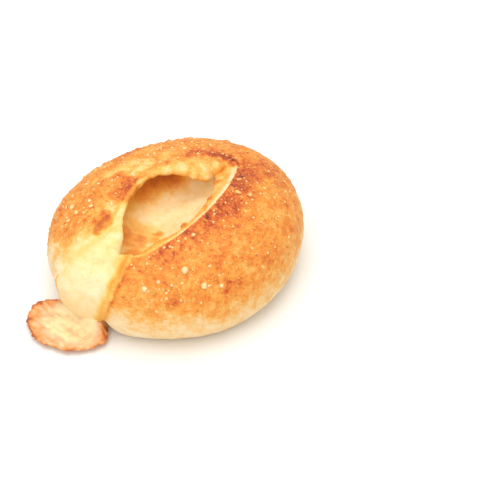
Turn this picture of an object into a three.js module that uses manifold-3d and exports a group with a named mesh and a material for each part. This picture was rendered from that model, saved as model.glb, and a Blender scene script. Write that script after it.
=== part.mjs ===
// A round bread roll that was slashed along its top, filled with cheese and baked. The slash opened into
// a mouth over a large hollow, the cheese melted onto the walls of the hollow, ran out over the -X end of
// the slash and set on the oven tray as a thin crisp skirt.
//
// Millimetres, +Z up. X runs along the slash, from the skirt at -X to the closed end of the slash at +X.
// The finished group is moved so that its origin is the centre of the footprint, on the table.
import * as THREE from "three";
import { mergeVertices } from "three/addons/utils/BufferGeometryUtils.js";
import Module from "manifold-3d";

// ---- driving dimensions ---------------------------------------------------------------------------
const ROLL = {
  halfLength: 53, // along the slash
  halfWidth: 47.4, // across it
  height: 42,
  girthHeight: 16, // where the side bulges furthest
  footShare: 0.76, // radius of the flat underside, as a share of the girth
  domePower: 2.25, // 2 is an ellipsoid, more is boxier
  wobble: 0.016, // three-lobed unevenness of the hand-shaped outline
};
const CREASE = { angle: 189, halfWidth: 8, depth: 3.2 }; // dent in the side where the slash runs out
const LINING = { wall: 1.3, floor: 4.2 }; // cheese on the walls and on the floor of the hollow
const TONGUE = {
  onTop: [170, 201], // the angles between which the cheese runs over the dome
  onFoot: [173, 191], // and down the foot of the roll
  footDepth: 6, // how deep it lies in the roll
  rimDepth: 13,
  proud: 1.2,
};
const SKIRT = { x: -52, y: 2, thickness: 1.7, lift: 0.5, curl: 1.6 }; // cheese that set on the tray
const GAP = 0.35; // clearance between the bread and the cheese that lies against it

const AROUND = 60; // steps round the roll
const UP = 9; // steps on each half of the roll's profile
const BIG = 80; // well outside the roll

const COLOURS = { bread: 0xd98a3a, cheese: 0xf3dd98 };

// The hollow, as matching stations round four closed curves. They start at the +X end of the slash and
// run anticlockwise, seen from above: along the far lip, over the cheese at -X, and back on the near lip.
const CRUST_EDGE = [
  [29.5, -3, 36.5], [27, 1, 38], [22, 4, 39.8], [17.5, 7.2, 40.8],
  [13, 10.6, 41.2], [7, 13, 41.4], [0, 14, 41.2], [-9, 13.4, 40.4],
  [-20, 9, 38.6], [-32, 1.6, 35.6], [-38.2, -8.2, 33.2], [-33, -17.4, 35.7],
  [-25.3, -20, 38], [-15.5, -21.4, 40], [-1.5, -19.6, 41.2], [14, -14, 40.6],
];
const INNER_EDGE = [
  [18.6, -1.6, 35.4], [17.4, -1, 36.3], [14.9, -2, 37.2], [11.1, -0.9, 38.2],
  [8, 4, 39], [4, 8.8, 39.4], [-2.5, 12, 39], [-10, 11.5, 38.2],
  [-20, 6.6, 36.8], [-29.4, -1.8, 34.2], [-36.3, -10, 30.4], [-31, -14.4, 33],
  [-23, -16.2, 36.8], [-13.5, -18.4, 38.4], [0, -15.4, 39.6], [11.5, -8.6, 37.8],
];
const WIDEST = [
  [21, -2.8, 33], [20.5, 0, 33.5], [18, 3.6, 34], [15, 7.5, 33.5],
  [10.5, 12, 33], [3, 15.5, 33.5], [-7.5, 16.5, 32.5], [-18, 12.5, 31],
  [-28, 6.5, 29], [-34, -1, 27.5], [-37.5, -9.8, 26], [-33.5, -17.5, 27],
  [-25, -22.5, 28], [-13, -25, 29], [2, -22.5, 29], [15, -13.5, 31.5],
];
const FLOOR_EDGE = [
  [14.5, -3.2, 28.5], [14, -1.6, 28.8], [12.5, -0.4, 28.6], [10, 1.6, 27.8],
  [6, 3.5, 26.2], [0, 5.5, 25], [-8, 6, 24], [-15.5, 4.5, 23],
  [-22.5, 1, 22], [-27, -3.5, 21], [-28, -8.5, 20], [-25.5, -14, 19.5],
  [-19.5, -17.5, 19], [-11, -19, 19], [0, -17, 20.5], [10.5, -10.5, 24.5],
];
const FLOOR_MIDDLE = new THREE.Vector3(-5, -7, 18); // lowest point of the cheese in the hollow

// Radii of the skirt's ragged outline, anticlockwise from +X, one every 30 degrees.
const SKIRT_RADII = [9, 10, 12, 16.4, 19.4, 17.8, 16.4, 15.8, 16.8, 17.8, 14.2, 9.5];

const wasm = await Module();
wasm.setup();

// ---- small helpers --------------------------------------------------------------------------------
const radians = THREE.MathUtils.degToRad;
const vector = ([x, y, z]) => new THREE.Vector3(x, y, z);

// A closed grid of vertices, made as a lathe and then moved: place(share round, ring index) gives each
// vertex. The first and last rings are single points.
function loft(rings, around, place) {
  const profile = Array.from({ length: rings }, (_, k) =>
    new THREE.Vector2(k === 0 || k === rings - 1 ? 0 : 1, k),
  );
  const geometry = new THREE.LatheGeometry(profile, around);
  const position = geometry.getAttribute("position");
  for (let i = 0; i <= around; i++)
    for (let k = 0; k < rings; k++) {
      const at = place((i % around) / around, k);
      position.setXYZ(i * rings + k, at.x, at.y, at.z);
    }
  geometry.deleteAttribute("normal");
  geometry.deleteAttribute("uv");
  return solidOf(mergeVertices(geometry, 1e-4));
}

// A manifold-3d solid from a closed geometry, turned the right way out if its faces point inwards.
function solidOf(geometry) {
  const index = Array.from(geometry.index.array);
  const kept = [];
  for (let t = 0; t < index.length; t += 3) {
    const [a, b, c] = index.slice(t, t + 3);
    if (a !== b && b !== c && a !== c) kept.push(a, b, c);
  }
  const make = (triangles) =>
    new wasm.Manifold(
      new wasm.Mesh({
        numProp: 3,
        vertProperties: new Float32Array(geometry.getAttribute("position").array),
        triVerts: new Uint32Array(triangles),
      }),
    );
  const made = make(kept);
  return made.volume() > 0 ? made : make(kept.reverse());
}

// The main body of a solid, without the slivers that a cut can leave.
function largest(solid) {
  return solid.decompose().reduce((most, body) => (body.volume() > most.volume() ? body : most));
}

function meshOf(solid, name, material) {
  const data = solid.getMesh();
  const geometry = new THREE.BufferGeometry()
    .setAttribute("position", new THREE.BufferAttribute(new Float32Array(data.vertProperties), 3))
    .setIndex(new THREE.BufferAttribute(new Uint32Array(data.triVerts), 1));
  geometry.computeVertexNormals();
  const mesh = new THREE.Mesh(geometry, material);
  mesh.name = name;
  return mesh;
}

// ---- the roll's outside ---------------------------------------------------------------------------
// Distance from the middle of the roll to its side at the girth, in the direction of an angle.
function girth(angle) {
  const { halfLength, halfWidth, wobble } = ROLL;
  const oval = 1 / Math.hypot(Math.cos(angle) / halfLength, Math.sin(angle) / halfWidth);
  const lobes = 1 + wobble * Math.cos(3 * angle - radians(45));
  const turn = THREE.MathUtils.euclideanModulo(
    THREE.MathUtils.radToDeg(angle) - CREASE.angle + 180, 360) - 180;
  return oval * lobes - CREASE.depth * Math.exp(-((turn / CREASE.halfWidth) ** 2));
}

// [share of the girth, height] at steps up the profile: underside, rounded foot, side and dome.
function rollProfile() {
  const { height, girthHeight, footShare, domePower } = ROLL;
  const steps = [[0, 0]];
  for (let k = 0; k <= UP; k++) {
    const turn = (k / UP) * (Math.PI / 2);
    const out = footShare + (1 - footShare) * Math.sin(turn);
    steps.push([out, girthHeight * (1 - Math.cos(turn))]);
  }
  for (let k = 1; k <= UP; k++) {
    const turn = (k / UP) * (Math.PI / 2);
    const up = Math.sin(turn) ** (2 / domePower);
    const out = k === UP ? 0 : Math.cos(turn) ** (2 / domePower);
    steps.push([out, girthHeight + (height - girthHeight) * up]);
  }
  return steps;
}

// The whole bun with no mouth, grown outwards by a margin.
function bun(margin) {
  const steps = rollProfile();
  return loft(steps.length, AROUND, (share, k) => {
    const angle = share * 2 * Math.PI;
    const [out, height] = steps[k];
    const reach = out * (girth(angle) + margin);
    const level = height + margin * ((2 * height) / ROLL.height - 1);
    return new THREE.Vector3(reach * Math.cos(angle), reach * Math.sin(angle), level);
  });
}

// ---- the hollow -----------------------------------------------------------------------------------
const edges = [CRUST_EDGE, INNER_EDGE, WIDEST, FLOOR_EDGE].map(
  (points) => new THREE.CatmullRomCurve3(points.map(vector), true),
);

function pushedOut(point, margin) {
  const out = new THREE.Vector2(point.x, point.y).sub(FLOOR_MIDDLE).setLength(1);
  return new THREE.Vector3(point.x + margin * out.x, point.y + margin * out.y, point.z);
}

// The space inside the mouth, from above the roll down to the floor of the hollow, with its rim pushed out
// and down, its walls pushed out and its floor let down by margins.
function hollow(rimMargin, wallMargin, floorMargin) {
  const wallSteps = 6;
  const top = FLOOR_MIDDLE.clone().setZ(BIG);
  const bottom = FLOOR_MIDDLE.clone().setZ(FLOOR_MIDDLE.z - floorMargin);
  const rings = wallSteps + 4;
  return loft(rings, AROUND, (share, k) => {
    const [crust, inner, widest, floorEdge] = edges.map((curve, at) =>
      pushedOut(curve.getPoint(share), at === 0 ? rimMargin : wallMargin),
    );
    crust.z -= rimMargin;
    if (k === 0) return top;
    if (k === 1) return crust.clone().setZ(BIG);
    if (k === 2) return crust;
    if (k === rings - 1) return bottom;
    floorEdge.z -= floorMargin;
    const wall = new THREE.CatmullRomCurve3([inner, widest, floorEdge, bottom]);
    return wall.getPoint((k - 3) / wallSteps);
  });
}

// ---- the cheese that ran out ----------------------------------------------------------------------
// The channel in the end of the roll that the cheese fills, from the mouth down to the tray. It gets
// deeper towards the rim, where it opens into the hollow.
function channel(margin, bottom) {
  const { onTop, onFoot, footDepth, rimDepth } = TONGUE;
  const { lerp, clamp, smoothstep, radToDeg } = THREE.MathUtils;
  const spread = radToDeg(margin / ROLL.halfLength);
  const across = 8;
  const sides = 2 * (across + 1);
  const levels = rollProfile().filter(([out, height]) => out > 0 && height > bottom);
  levels.unshift([levels[0][0], bottom]);
  levels.push([levels.at(-1)[0], BIG]);
  const angleAt = (share, height) => {
    const up = smoothstep(height, 0, ROLL.girthHeight);
    const from = lerp(onFoot[0], onTop[0], up) - spread;
    const to = lerp(onFoot[1], onTop[1], up) + spread;
    return radians(lerp(from, to, share));
  };
  const inside = (angle, [out, height]) => {
    const depth = lerp(footDepth, rimDepth, clamp(height / ROLL.height, 0, 1) ** 2);
    return Math.max(girth(angle) * out - depth - margin, 1);
  };
  const at = (angle, reach, height) =>
    new THREE.Vector3(reach * Math.cos(angle), reach * Math.sin(angle), height);
  return loft(levels.length + 2, sides, (share, k) => {
    const side = Math.round(share * sides);
    const outside = side <= across;
    const level = levels[clamp(k - 1, 0, levels.length - 1)];
    const closing = k === 0 || k === levels.length + 1;
    const angle = angleAt(closing ? 0.5 : (outside ? side : sides - 1 - side) / across, level[1]);
    if (closing) return at(angle, (BIG + inside(angle, level)) / 2, level[1]);
    return at(angle, outside ? BIG : inside(angle, level), level[1]);
  });
}

// The thin sheet on the tray, curling up a little towards its ragged edge.
function skirt() {
  const outline = new THREE.CatmullRomCurve3(
    SKIRT_RADII.map((radius, k) => {
      const angle = (k / SKIRT_RADII.length) * 2 * Math.PI;
      return new THREE.Vector3(radius * Math.cos(angle), radius * Math.sin(angle), 0);
    }),
    true,
  );
  const shares = [0, 0.5, 0.96, 1, 0.5, 0];
  return loft(shares.length, 48, (share, k) => {
    const edge = outline.getPoint(share);
    const level = SKIRT.lift + SKIRT.curl * shares[k] ** 2;
    const upper = k < 3 ? 0 : SKIRT.thickness;
    return new THREE.Vector3(SKIRT.x + edge.x * shares[k], SKIRT.y + edge.y * shares[k], level + upper);
  });
}

// ---- the two pieces -------------------------------------------------------------------------------
const cavity = hollow(0, LINING.wall + GAP, LINING.floor + GAP);
const bread = bun(0).subtract(cavity).subtract(channel(GAP, -BIG));

const air = hollow(0, 0, 0);
const poured = hollow(-(LINING.wall + GAP), LINING.wall, LINING.floor).intersect(cavity);
const tongue = channel(0, SKIRT.lift).intersect(bun(TONGUE.proud).add(skirt()));
const loose = skirt().subtract(bun(GAP));
const cheese = largest(poured.add(tongue).subtract(air).add(loose));

const crustMaterial = new THREE.MeshStandardMaterial({
  name: "baked_crust", color: COLOURS.bread, roughness: 0.6, metalness: 0,
});
const cheeseMaterial = new THREE.MeshStandardMaterial({
  name: "melted_cheese", color: COLOURS.cheese, roughness: 0.45, metalness: 0,
});

const roll = new THREE.Group();
roll.name = "cheese_roll";
roll.add(meshOf(bread, "bread_roll", crustMaterial));
roll.add(meshOf(cheese, "melted_cheese", cheeseMaterial));

const box = new THREE.Box3().setFromObject(roll);
const centre = box.getCenter(new THREE.Vector3());
roll.position.set(-centre.x, -centre.y, -box.min.z);

export default roll;
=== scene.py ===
"""A baked cheese roll on a plain pale floor, in soft studio light.

The roll is a round bun that was slashed along its top, filled with cheese and baked. The slash opened
into a mouth over a hollow. The cheese melted over the walls of the hollow, ran out over the left end of
the slash and down the side, and set on the oven tray as a thin browned skirt. Grated cheese on the crust
baked into small pale crumbs.

Bread and cheese share one skin: a grid of rings that runs from the floor of the hollow, up its wall, over
the lip, down the dome and under the roll. The bread lies on that skin outside the mouth and sinks below
it in the hollow, and the cheese does the opposite, so the two meet without a step where they melted
together. Shapes are worked out in millimetres from the middle of the roll's underside, and moved to the
frame, in metres, when a mesh is made.
"""

import logging
import math
from dataclasses import dataclass
from enum import Enum
from functools import cached_property
from typing import Any

import bpy
import numpy as np
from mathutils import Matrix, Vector
from mathutils.bvhtree import BVHTree


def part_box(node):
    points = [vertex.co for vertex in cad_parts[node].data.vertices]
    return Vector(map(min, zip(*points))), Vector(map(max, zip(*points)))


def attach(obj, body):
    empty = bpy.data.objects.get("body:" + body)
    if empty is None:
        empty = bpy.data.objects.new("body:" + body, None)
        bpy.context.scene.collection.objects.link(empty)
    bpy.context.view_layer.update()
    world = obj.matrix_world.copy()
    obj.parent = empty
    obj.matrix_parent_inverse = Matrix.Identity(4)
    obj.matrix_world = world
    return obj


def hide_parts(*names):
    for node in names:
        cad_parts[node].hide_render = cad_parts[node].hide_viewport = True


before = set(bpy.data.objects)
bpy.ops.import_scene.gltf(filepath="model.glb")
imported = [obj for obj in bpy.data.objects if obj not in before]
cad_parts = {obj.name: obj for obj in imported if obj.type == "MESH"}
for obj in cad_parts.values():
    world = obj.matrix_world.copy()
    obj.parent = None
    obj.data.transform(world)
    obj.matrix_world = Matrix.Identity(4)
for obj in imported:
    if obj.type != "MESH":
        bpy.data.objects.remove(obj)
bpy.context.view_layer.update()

LOG = logging.getLogger("cheese_roll")
MM = 0.001
Array = np.ndarray
Colour = tuple[float, float, float, float]


# ---- small helpers ------------------------------------------------------------------------------------
def linear(colour: str) -> Colour:
    """Turns an sRGB colour into the linear values that a shader takes.

    Args:
        colour: six hex digits, such as "f0c080".

    Returns:
        Red, green and blue, each from 0 to 1 and linear, and an alpha of 1.
    """
    shares = [int(colour[k : k + 2], 16) / 255 for k in (0, 2, 4)]
    red, green, blue = [
        share / 12.92 if share <= 0.04045 else ((share + 0.055) / 1.055) ** 2.4 for share in shares
    ]
    return red, green, blue, 1.0


def smooth(low: Array | float, high: Array | float, value: Array | float) -> Array:
    """Rises smoothly from 0 to 1 as a value goes from low to high.

    Args:
        low: where the rise starts.
        high: where it ends.
        value: the value or values to look at.

    Returns:
        The smoothed share or shares.
    """
    share = np.clip((value - low) / (np.asarray(high) - low), 0, 1)
    return share * share * (3 - 2 * share)


def closed_curve(points: Array, at: Array) -> Array:
    """Follows a smooth closed curve through points.

    Args:
        points: one row for each point, in order round the curve.
        at: shares of the way round, from 0 to 1.

    Returns:
        One row for each share.
    """
    count = len(points)
    place = np.asarray(at) * count
    first = np.floor(place).astype(int)
    step = (place - first)[:, None]
    before, start, end, after = [points[(first + k) % count] for k in (-1, 0, 1, 2)]
    return 0.5 * (
        2 * start
        + (end - before) * step
        + (2 * before - 5 * start + 4 * end - after) * step**2
        + (3 * start - before - 3 * end + after) * step**3
    )


def hermite(start: Array, leave: Array, end: Array, arrive: Array, share: float) -> Array:
    """Gives a point on a cubic that leaves one point and arrives at another along given tangents.

    Args:
        start: where it starts, one row for each station.
        leave: its tangent there.
        end: where it ends.
        arrive: its tangent there.
        share: how far along, from 0 to 1.

    Returns:
        One row for each station.
    """
    t2, t3 = share**2, share**3
    return (
        (2 * t3 - 3 * t2 + 1) * start
        + (t3 - 2 * t2 + share) * leave
        + (3 * t2 - 2 * t3) * end
        + (t3 - t2) * arrive
    )


def unit(rows: Array) -> Array:
    """Gives each row of vectors a length of one."""
    return rows / np.maximum(np.linalg.norm(rows, axis=-1, keepdims=True), 1e-9)


def lumps(points: Array, size: float, seed: float = 0.0) -> Array:
    """Gives smooth gradient noise at points.

    Args:
        points: places in millimetres, in an array whose last axis is x, y, z.
        size: the size of one lump, in millimetres.
        seed: moves the pattern, so that two layers of one size differ.

    Returns:
        Values from about -1 to 1, one for each point.
    """
    place = points / size + seed * 17.13
    cell = np.floor(place).astype(np.int64)
    step = place - cell
    ease = step**3 * (step * (step * 6 - 15) + 10)
    total = np.zeros(points.shape[:-1])
    for corner in np.ndindex(2, 2, 2):
        at = (cell + corner).astype(np.uint64)
        key = at[..., 0] * 73856093 ^ at[..., 1] * 19349663 ^ at[..., 2] * 83492791
        key = (key ^ key >> 13) * 1274126177
        key = key ^ key >> 16
        share = np.ones(points.shape[:-1])
        slope = np.zeros(points.shape[:-1])
        for axis in range(3):
            lean = (key >> 10 * axis & 1023) / 511.5 - 1
            slope += lean * (step[..., axis] - corner[axis])
            share *= ease[..., axis] if corner[axis] else 1 - ease[..., axis]
        total += slope * share
    return total * 1.4


def normals(grid: Array) -> Array:
    """Gives the outward normals of the skin.

    Args:
        grid: points by ring and station, from the floor of the hollow to the underside.

    Returns:
        Unit vectors by ring and station.
    """
    along = np.gradient(grid, axis=0)
    across = np.roll(grid, -1, axis=1) - np.roll(grid, 1, axis=1)
    found = unit(np.cross(along, across))
    found[0] = (0, 0, 1)
    found[-1] = (0, 0, -1)
    return found


def select_none() -> None:
    """Deselects every object, because an operator acts on all that is selected."""
    if bpy.context.object and bpy.context.object.mode != "OBJECT":
        bpy.ops.object.mode_set(mode="OBJECT")
    bpy.ops.object.select_all(action="DESELECT")


# ---- the roll's shape ---------------------------------------------------------------------------------
@dataclass(frozen=True)
class Bun:
    """The outside of the roll as if it had no mouth, in millimetres and degrees."""

    half_length: float = 53.0
    half_width: float = 47.4
    height: float = 42.0
    girth_height: float = 15.4
    foot_share: float = 0.785  # the flat underside's width, as a share of the girth's
    dome_power: float = 2.25  # 2 is an ellipsoid, and more is boxier
    lobes: int = 3
    lobe_angle: float = 15.0
    lobe_share: float = 0.016
    # The crease at the end of the slash, where the two halves of the dome draw together.
    crease_angle: float = 189.0
    crease_half_width: float = 8.0
    crease_depth: float = 3.2

    def girth(self, angle: Array | float) -> Array:
        """Gives the distance from the middle to the side at its widest.

        Args:
            angle: directions seen from above, in radians.

        Returns:
            Distances in millimetres.
        """
        oval = 1 / np.hypot(np.cos(angle) / self.half_length, np.sin(angle) / self.half_width)
        swell = 1 + self.lobe_share * np.cos(self.lobes * (angle - math.radians(self.lobe_angle)))
        turn = (np.degrees(angle) - self.crease_angle + 180) % 360 - 180
        return oval * swell - self.crease_depth * np.exp(-((turn / self.crease_half_width) ** 2))

    def dome(self, angle: Array, rise: Array | float) -> Array:
        """Gives points on the dome.

        Args:
            angle: directions seen from above, in radians.
            rise: 0 at the girth to a quarter turn at the top, in radians.

        Returns:
            One row for each direction.
        """
        reach = self.girth(angle) * np.cos(rise) ** (2 / self.dome_power)
        up = np.sin(rise) ** (2 / self.dome_power)
        level = self.girth_height + (self.height - self.girth_height) * up
        return np.stack([reach * np.cos(angle), reach * np.sin(angle), level], axis=-1)

    def rise_at(self, place: Array) -> Array:
        """Gives the rise of the dome over places seen from above.

        Args:
            place: one row for each place, with x and y first.

        Returns:
            Angles in radians, 0 at the girth and a quarter turn at the top.
        """
        angle = np.arctan2(place[:, 1], place[:, 0])
        share = np.hypot(place[:, 0], place[:, 1]) / self.girth(angle)
        return np.arccos(np.clip(share, 0, 1) ** (self.dome_power / 2))

    def foot(self, angle: Array, turn: float) -> Array:
        """Gives points on the rounded foot.

        Args:
            angle: directions seen from above, in radians.
            turn: 0 on the floor to a quarter turn at the girth, in radians.

        Returns:
            One row for each direction.
        """
        share = self.foot_share + (1 - self.foot_share) * math.sin(turn)
        reach = self.girth(angle) * share
        level = np.full_like(reach, self.girth_height * (1 - math.cos(turn)))
        return np.stack([reach * np.cos(angle), reach * np.sin(angle), level], axis=-1)


@dataclass(frozen=True)
class Spot:
    """A round place on the skin, in millimetres from the middle of the roll's underside.

    The amount is how much browner than its surroundings it baked, or how many millimetres it stands
    proud.
    """

    x: float
    y: float
    z: float
    reach: float
    amount: float


@dataclass(frozen=True)
class Mouth:
    """The torn slash and the hollow under it, as matching stations round closed curves, in millimetres.

    The stations start at the closed +X end of the slash and run anticlockwise, seen from above: along
    the far lip, over the cheese at the -X end, and back along the near lip.
    """

    outward: tuple[float, ...] = (0, 20, 38, 52, 66, 84, 101, 120, 141, 163, 184, 207, 231, 257, 286, 326)
    crust: tuple[tuple[float, float, float], ...] = (
        (29.5, -3, 36.5), (27, 1, 38), (22, 4, 39.8), (17.5, 7.2, 40.8),
        (13, 10.6, 41.2), (7, 13, 41.4), (0, 14, 41.2), (-9, 13.4, 40.4),
        (-20, 9, 38.6), (-32, 1.6, 35.6), (-38.2, -8.2, 33.2), (-33, -17.4, 35.7),
        (-25.3, -20, 38), (-15.5, -21.4, 40), (-1.5, -19.6, 41.2), (14, -14, 40.6),
    )
    inner: tuple[tuple[float, float, float], ...] = (
        (18.6, -1.6, 35.4), (17.4, -1, 36.3), (14.9, -2, 37.2), (11.1, -0.9, 38.2),
        (8, 4, 39), (4, 8.8, 39.4), (-2.5, 12, 39), (-10, 11.5, 38.2),
        (-20, 6.6, 36.8), (-29.4, -1.8, 34.2), (-37.3, -9.9, 29.8), (-31, -14.4, 33),
        (-23, -16.2, 36.8), (-13.5, -18.4, 38.4), (0, -15.4, 39.6), (11.5, -8.6, 37.8),
    )
    widest: tuple[tuple[float, float, float], ...] = (
        (21, -2.8, 33), (20.5, 0, 33.5), (18, 3.6, 34), (15, 7.5, 33.5),
        (10.5, 12, 33), (3, 15.5, 33.5), (-7.5, 16.5, 32.5), (-18, 12.5, 31),
        (-28, 6.5, 29), (-34, -1, 27.5), (-37.5, -9.8, 26), (-33.5, -17.5, 27),
        (-25, -22.5, 28), (-13, -25, 29), (2, -22.5, 29), (15, -13.5, 31.5),
    )
    floor_edge: tuple[tuple[float, float, float], ...] = (
        (14.5, -3.2, 28.5), (14, -1.6, 28.8), (12.5, -0.4, 28.6), (10, 1.6, 27.8),
        (6, 3.5, 26.2), (0, 5.5, 25), (-8, 6, 24), (-15.5, 4.5, 23),
        (-22.5, 1, 22), (-27, -3.5, 21), (-28, -8.5, 20), (-25.5, -14, 19.5),
        (-19.5, -17.5, 19), (-11, -19, 19), (0, -17, 20.5), (10.5, -10.5, 24.5),
    )
    floor_middle: tuple[float, float, float] = (-5, -7, 18)
    # How far the lip keeps the dome's direction before it turns over, and the wall's after it has.
    lip_out: tuple[float, ...] = (0.8, 1.5, 2.6, 3.4, 3.6, 3, 2.6, 2.2, 2, 2, 2.2, 1.6, 0.8, 0.6, 0.6, 0.7)
    lip_in: tuple[float, ...] = (0.8, 1.2, 1.8, 2.4, 2.4, 2.2, 2, 2, 2, 2.2, 2.5, 1.8, 1, 0.8, 0.8, 0.8)
    # 1 where the torn dough puffed up, 0 where it dried to a thin crisp edge.
    puff: tuple[float, ...] = (0.3, 0.7, 1, 1, 1, 0.9, 0.8, 0.7, 0.5, 0.3, 0.2, 0.2, 0.1, 0, 0, 0.1)
    blisters: tuple[Spot, ...] = (
        Spot(15.8, -6.2, 38.2, 1.8, 0.8), Spot(5.5, -13.6, 39.6, 1.3, 0.6),
        Spot(-11.9, -18.2, 39.2, 1.5, 1.2),
        Spot(29.2, -0.6, 37, 2.1, 0.9), Spot(26.6, 3.6, 38.6, 1.8, 0.5), Spot(23.6, 8.4, 39.8, 2, 0.4),
        Spot(22.6, 0, 38.6, 2.6, 0.9), Spot(18.2, 1.8, 39.6, 2.3, 0.6), Spot(15.8, 5.4, 40.5, 2.6, 0.4),
        Spot(14.6, -1, 38.9, 3, 1.2), Spot(10.8, 1.4, 39.2, 2, 0.8), Spot(8.4, 4.2, 39.8, 1.4, 0.6),
        Spot(8.4, 8, 40.8, 3, 0.9), Spot(3, 9.9, 40.2, 2.4, 0.7), Spot(-1.4, 12.3, 40.2, 1.5, 0.4),
        Spot(12.4, 7.6, 40.9, 2, 0.4), Spot(19, -2, 38.2, 1.6, 0.8),
        Spot(-7.5, 12.6, 39.6, 2, 0.5), Spot(-13.5, 11.5, 39.6, 3, 0.5), Spot(-31, 6.2, 36.6, 3.6, 0.6),
        Spot(-51.3, 11.6, 16.7, 1.5, 0.9), Spot(-46, 2, 27, 5, 0.5), Spot(-43.5, -8, 27, 4, 0.5),
        Spot(-50, 3, 15, 5, 0.5), Spot(-41, -3, 33, 4, 0.5),
    )


@dataclass(frozen=True)
class Stream:
    """The cheese that ran over the -X end of the slash and down the outside of the roll.

    Its edges are given in degrees round the roll, anticlockwise from +X seen from above, at heights in
    millimetres: the right edge lies on the near lobe, and the left one on the far lobe.
    """

    heights: tuple[float, ...] = (2, 8, 12, 15, 19, 23, 26, 30, 34, 42)
    right: tuple[float, ...] = (190, 192, 194, 196, 197.5, 199, 200.5, 201.8, 202, 205)
    left: tuple[float, ...] = (171, 168.5, 167, 167.3, 168, 168.7, 169.4, 170.4, 171, 170)
    thickness: float = 1.0
    thicker_foot: float = 1.6  # how much thicker it is where it gathered above the foot, as a share
    hidden: float = 0.6  # how far below the skin the cheese lies where none ran

    def inside(self, grid: Array) -> Array:
        """Tells how far inside the stream each point lies.

        Args:
            grid: points by ring and station.

        Returns:
            Two layers of distances in millimetres from the right and the left edge, less than 0 outside.
        """
        right = np.interp(grid[..., 2], self.heights, self.right)
        left = np.interp(grid[..., 2], self.heights, self.left)
        angle = np.degrees(np.arctan2(grid[..., 1], grid[..., 0])) % 360
        to_length = np.radians(1) * np.hypot(grid[..., 0], grid[..., 1])
        return np.stack([(right - angle) * to_length, (angle - left) * to_length])


class Zone(Enum):
    """The stretches of the skin, from the hollow to the underside: their order, and the rings of each."""

    FLOOR = (0, 20)
    WALL = (1, 16)
    OVERHANG = (2, 16)
    LIP = (3, 24)
    DOME = (4, 100)
    FOOT = (5, 20)
    UNDERSIDE = (6, 8)

    @property
    def steps(self) -> list[float]:
        """How far along the stretch each of its rings lies, from 0 to just under 1."""
        return [k / self.value[1] for k in range(self.value[1])]


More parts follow.
